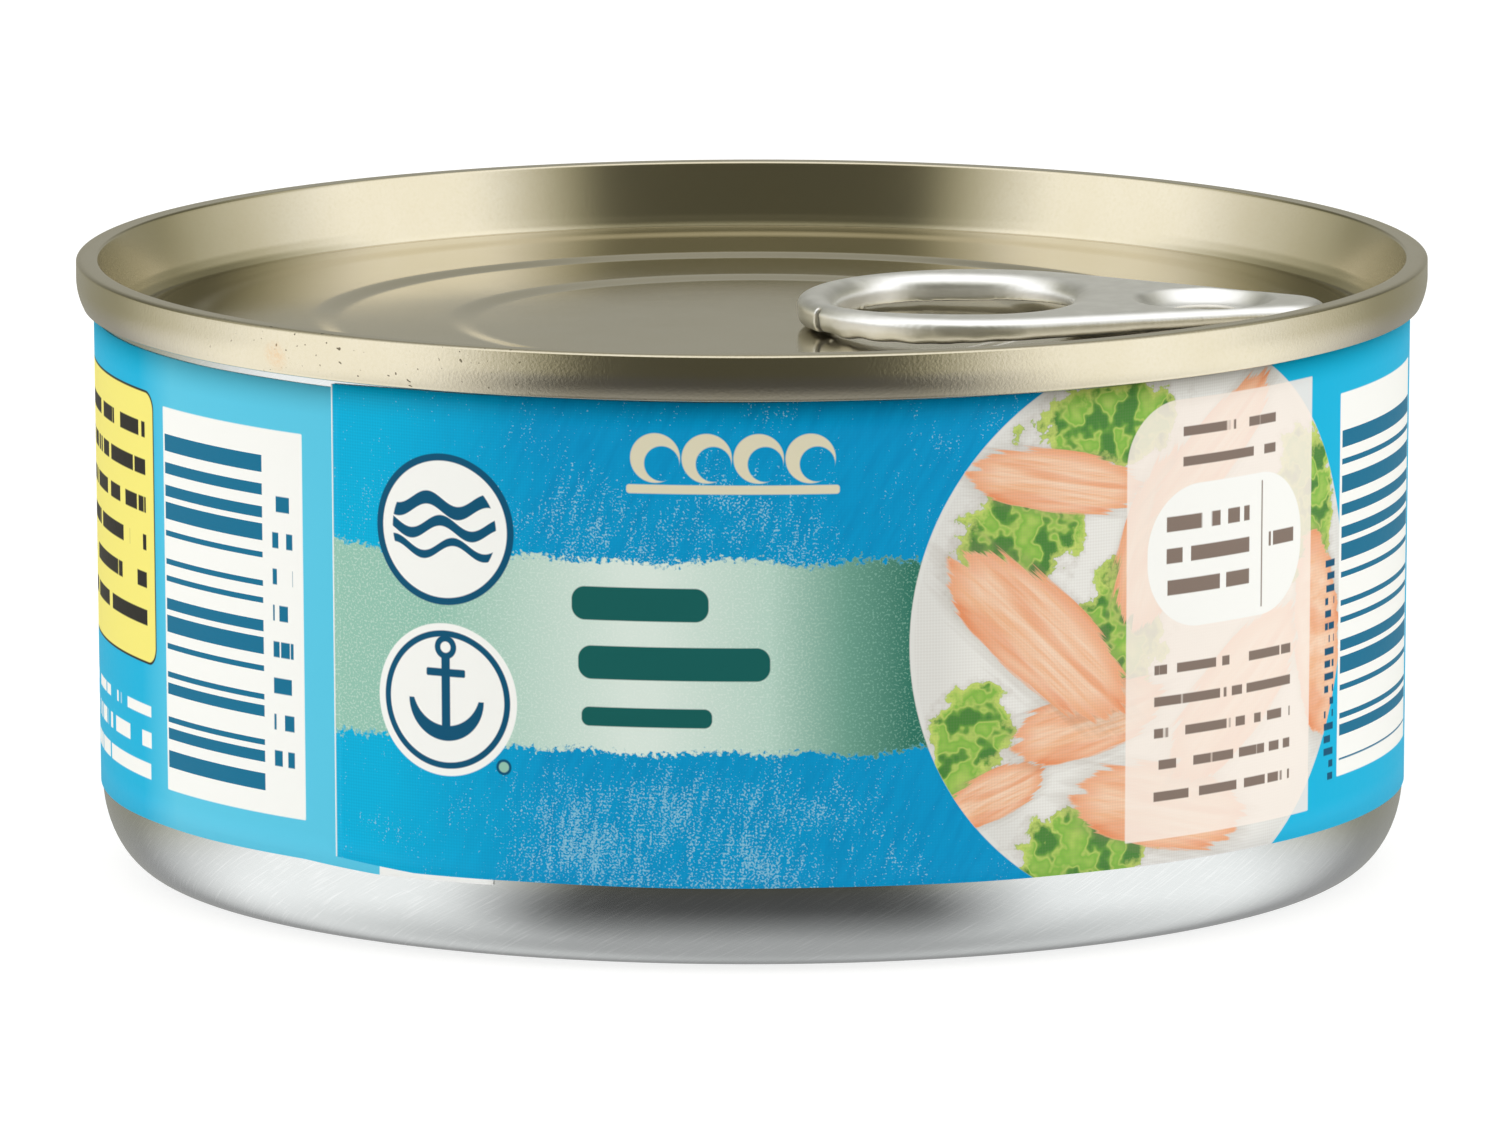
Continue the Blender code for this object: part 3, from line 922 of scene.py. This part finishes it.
def draw_title(art):
    """A running wave in cream, and plain green bars where the can says what it holds."""
    for crest in range(4):
        centre = (-6.0 + 3.2 * crest, 32.4)
        ring = art.disc(centre, 1.55) * (1 - art.disc((centre[0] + 0.42, centre[1] - 0.35), 1.1))
        art.lay(ring, CREAM)
    art.lay(art.box((-1.2, 30.45), (6.6, 0.28), 0.2), CREAM)
    rows = ((-7.0, 23.2, 4.3, 1.05), (-4.9, 19.5, 6.0, 1.05), (-6.6, 16.1, 4.1, 0.6))
    for centre, height, half, thick in rows:
        art.lay(art.box((centre, height), (half, thick), thick * 0.8), DARK_GREEN)


PLATE_CENTRE = (27.7, 20.5)


def draw_plate(art):
    """A white plate with pink flakes of fish on frilly leaves."""
    plate = art.disc(PLATE_CENTRE, 17.9)
    art.lay(plate, PLATE)
    art.lay(plate * (1 - art.disc((28.6, 20.2), 15.8, 2.5)) * 0.35, PLATE_SHADE)
    crinkle = art.noise(art.sheet, 0.5, 4.0, 0.6)
    folds = art.noise(art.sheet, 0.55, 2.0)
    veins = art.maths("ABSOLUTE", folds - 0.5).below(0.02, 0.035)
    leaves = ((16.8, 26.6, 4.6, 3.4, 35.0), (13.6, 14.4, 2.6, 3.6, -20.0), (23.4, 33.6, 5.4, 2.6, 0.0),
              (21.4, 6.8, 5.4, 2.8, 10.0), (24.2, 20.6, 4.4, 3.4, 60.0), (40.6, 26.4, 3.4, 5.2, 0.0))
    for x, z, length, width, turn in leaves:
        local = art.local((x, z), (length, width), radians(turn))
        away = art.vector("LENGTH", local, output="Value") + 1.5 * (crinkle - 0.5)
        leaf = plate * away.below(1.0, 0.05)
        art.lay(plate * away.below(1.06, 0.25) * 0.3, PLATE_DARK)
        art.lay(leaf, LEAF)
        art.lay(leaf * folds.below(0.47, 0.12) * 0.85, LEAF_DARK)
        art.lay(leaf * (veins * 0.6 + folds.above(0.62, 0.14) * 0.5), LEAF_LIGHT)
        art.lay(leaf * away.above(0.86, 0.14) * 0.75, LEAF_LIGHT)
    flakes = ((19.6, 30.2, 6.0, 1.9, -10.0), (27.0, 26.0, 5.6, 2.6, 70.0), (15.4, 10.8, 3.4, 1.5, 22.0),
              (22.0, 15.0, 5.4, 2.2, 12.0), (18.4, 20.6, 7.6, 2.9, -42.0), (31.5, 31.0, 6.4, 2.0, 40.0),
              (27.6, 9.0, 6.8, 2.6, -12.0), (34.0, 15.5, 7.0, 3.0, 38.0), (42.4, 18.0, 2.6, 6.4, 8.0))
    for x, z, length, width, turn in flakes:
        local = art.local((x, z), (length, width), radians(turn))
        fibres = art.noise(art.vector("MULTIPLY", local, (0.9, 5.5, 1.0)), 1.0, 3.0, 0.6)
        strand = art.noise(art.vector("MULTIPLY", local, (0.6, 2.0, 1.0)), 1.0, 1.0)
        away = art.vector("LENGTH", local, output="Value") + 0.6 * (fibres - 0.5) + 0.5 * (strand - 0.5)
        flake = plate * away.below(1.0, 0.05)
        art.lay(plate * away.below(1.1, 0.35) * 0.35, PLATE_DARK)
        art.lay(flake, FISH)
        art.lay(flake * fibres.above(0.5, 0.3) * 0.85, FISH_LIGHT)
        art.lay(flake * (strand.below(0.42, 0.12) * 0.55 + away.above(0.85, 0.2) * 0.5), FISH_RED)


def draw_facts(art):
    """A see-through cream panel over the plate, with a white field and small type."""
    art.lay(art.disc(PLATE_CENTRE, 17.6) * art.screen * 0.1, PLATE_DARK)
    panel = art.box((33.0, 20.8), (8.4, 13.8), 4.0)
    for centre, half in (((33.0, 18.7), (8.4, 11.7)), ((35.5, 20.8), (5.9, 13.8))):
        panel = art.maths("MAXIMUM", panel, art.box(centre, half, 0.1))
    art.lay(panel * 0.8, PANEL_CREAM)
    art.lay(art.box((33.2, 24.7), (7.0, 4.5), 4.2), PAPER_WHITE)
    art.lay(art.box((36.1, 24.7), (0.06, 4.0), 0.05), PANEL_INK)
    masks = (art.words((33.2, 31.6), (4.2, 1.9), 1.9, 0.6, 1.3, 1.0),
             art.words((31.3, 24.8), (3.6, 3.0), 2.0, 0.95, 1.5, 5.0),
             art.words((38.1, 24.9), (1.3, 0.9), 1.8, 0.9, 1.5, 9.0),
             art.words((33.0, 13.7), (6.2, 5.0), 2.0, 0.6, 1.4, 3.0))
    for mask in masks:
        art.lay(mask, PANEL_INK)
    art.lay(art.words((43.9, 15.6), (0.6, 7.2), 0.8, 0.45, 1.0, 15.0), BADGE_BLUE)


def draw_bar_panels(art):
    """White panels with level bars at both sides of the front."""
    art.lay(art.box((LAP - 37.9, 20.1), (7.3, 12.2), 0.1), PAPER_WHITE)
    art.lay(art.box((53.2, 20.8), (8.1, 12.2), 0.1), PAPER_WHITE)
    art.lay(art.bars((LAP - 39.6, 20.1), (5.4, 11.0), 0.36, 3.0), BAR_BLUE)
    art.lay(art.bars((53.3, 20.2), (7.9, 10.6), 0.36, 11.0), BAR_BLUE)
    art.lay(art.words((LAP - 32.4, 19.6), (0.9, 9.2), 2.3, 1.0, 0.9, 21.0), BAR_BLUE)


def draw_left(art):
    """A yellow notice at the left, and white small type under it."""
    art.lay(art.box((LAP - 60.6, 24.2), (14.0, 8.75), 1.2), BLACK)
    art.lay(art.box((LAP - 60.6, 24.2), (13.85, 8.6), 1.1), YELLOW)
    art.lay(art.words((LAP - 60.6, 24.4), (12.6, 7.2), 2.4, 1.0, 1.7, 2.0), BLACK)
    art.lay(art.words((LAP - 60.0, 10.2), (12.4, 2.6), 2.0, 1.0, 1.6, 6.0), PAPER_WHITE)


def draw_back(art):
    """The back: a pale table of small type beside two columns of white type."""
    art.lay(art.box((150.0, 20.6), (22.0, 11.6), 0.8), PAPER_WHITE)
    art.lay(art.box((150.0, 20.6), (21.7, 11.3), 0.6), CYAN)
    art.lay(art.box((150.0, 20.6), (21.5, 11.1), 0.5), PAPER_WHITE)
    art.lay(art.words((142.0, 20.6), (11.5, 9.6), 1.9, 0.7, 1.6, 4.0), BADGE_BLUE)
    art.lay(art.words((164.0, 20.6), (5.0, 9.6), 1.9, 0.7, 1.4, 8.0), BADGE_BLUE)
    art.lay(art.words((90.0, 20.6), (24.0, 10.8), 2.4, 0.9, 1.8, 12.0), PAPER_WHITE)


def printed_paper():
    """Coated paper with a soft sheen, its print, and a bare white flap at its end."""
    art = Print()
    draw_ground(art)
    draw_badges(art)
    draw_title(art)
    draw_plate(art)
    draw_facts(art)
    draw_bar_panels(art)
    draw_left(art)
    draw_back(art)
    art.lay(art.u.above(FLAP_START, EDGE), PAPER_WHITE)
    art.lay(art.u.below(LABEL_START + 0.1, 0.1), PAPER_WHITE)
    art.feed("Base Color", art.colour)
    fibres = art.noise(art.sheet, 2.4, 3.0)
    art.feed("Roughness", 0.36 + 0.1 * fibres)
    art.relief(fibres, 0.12, 0.01)
    return art


make_label(printed_paper())
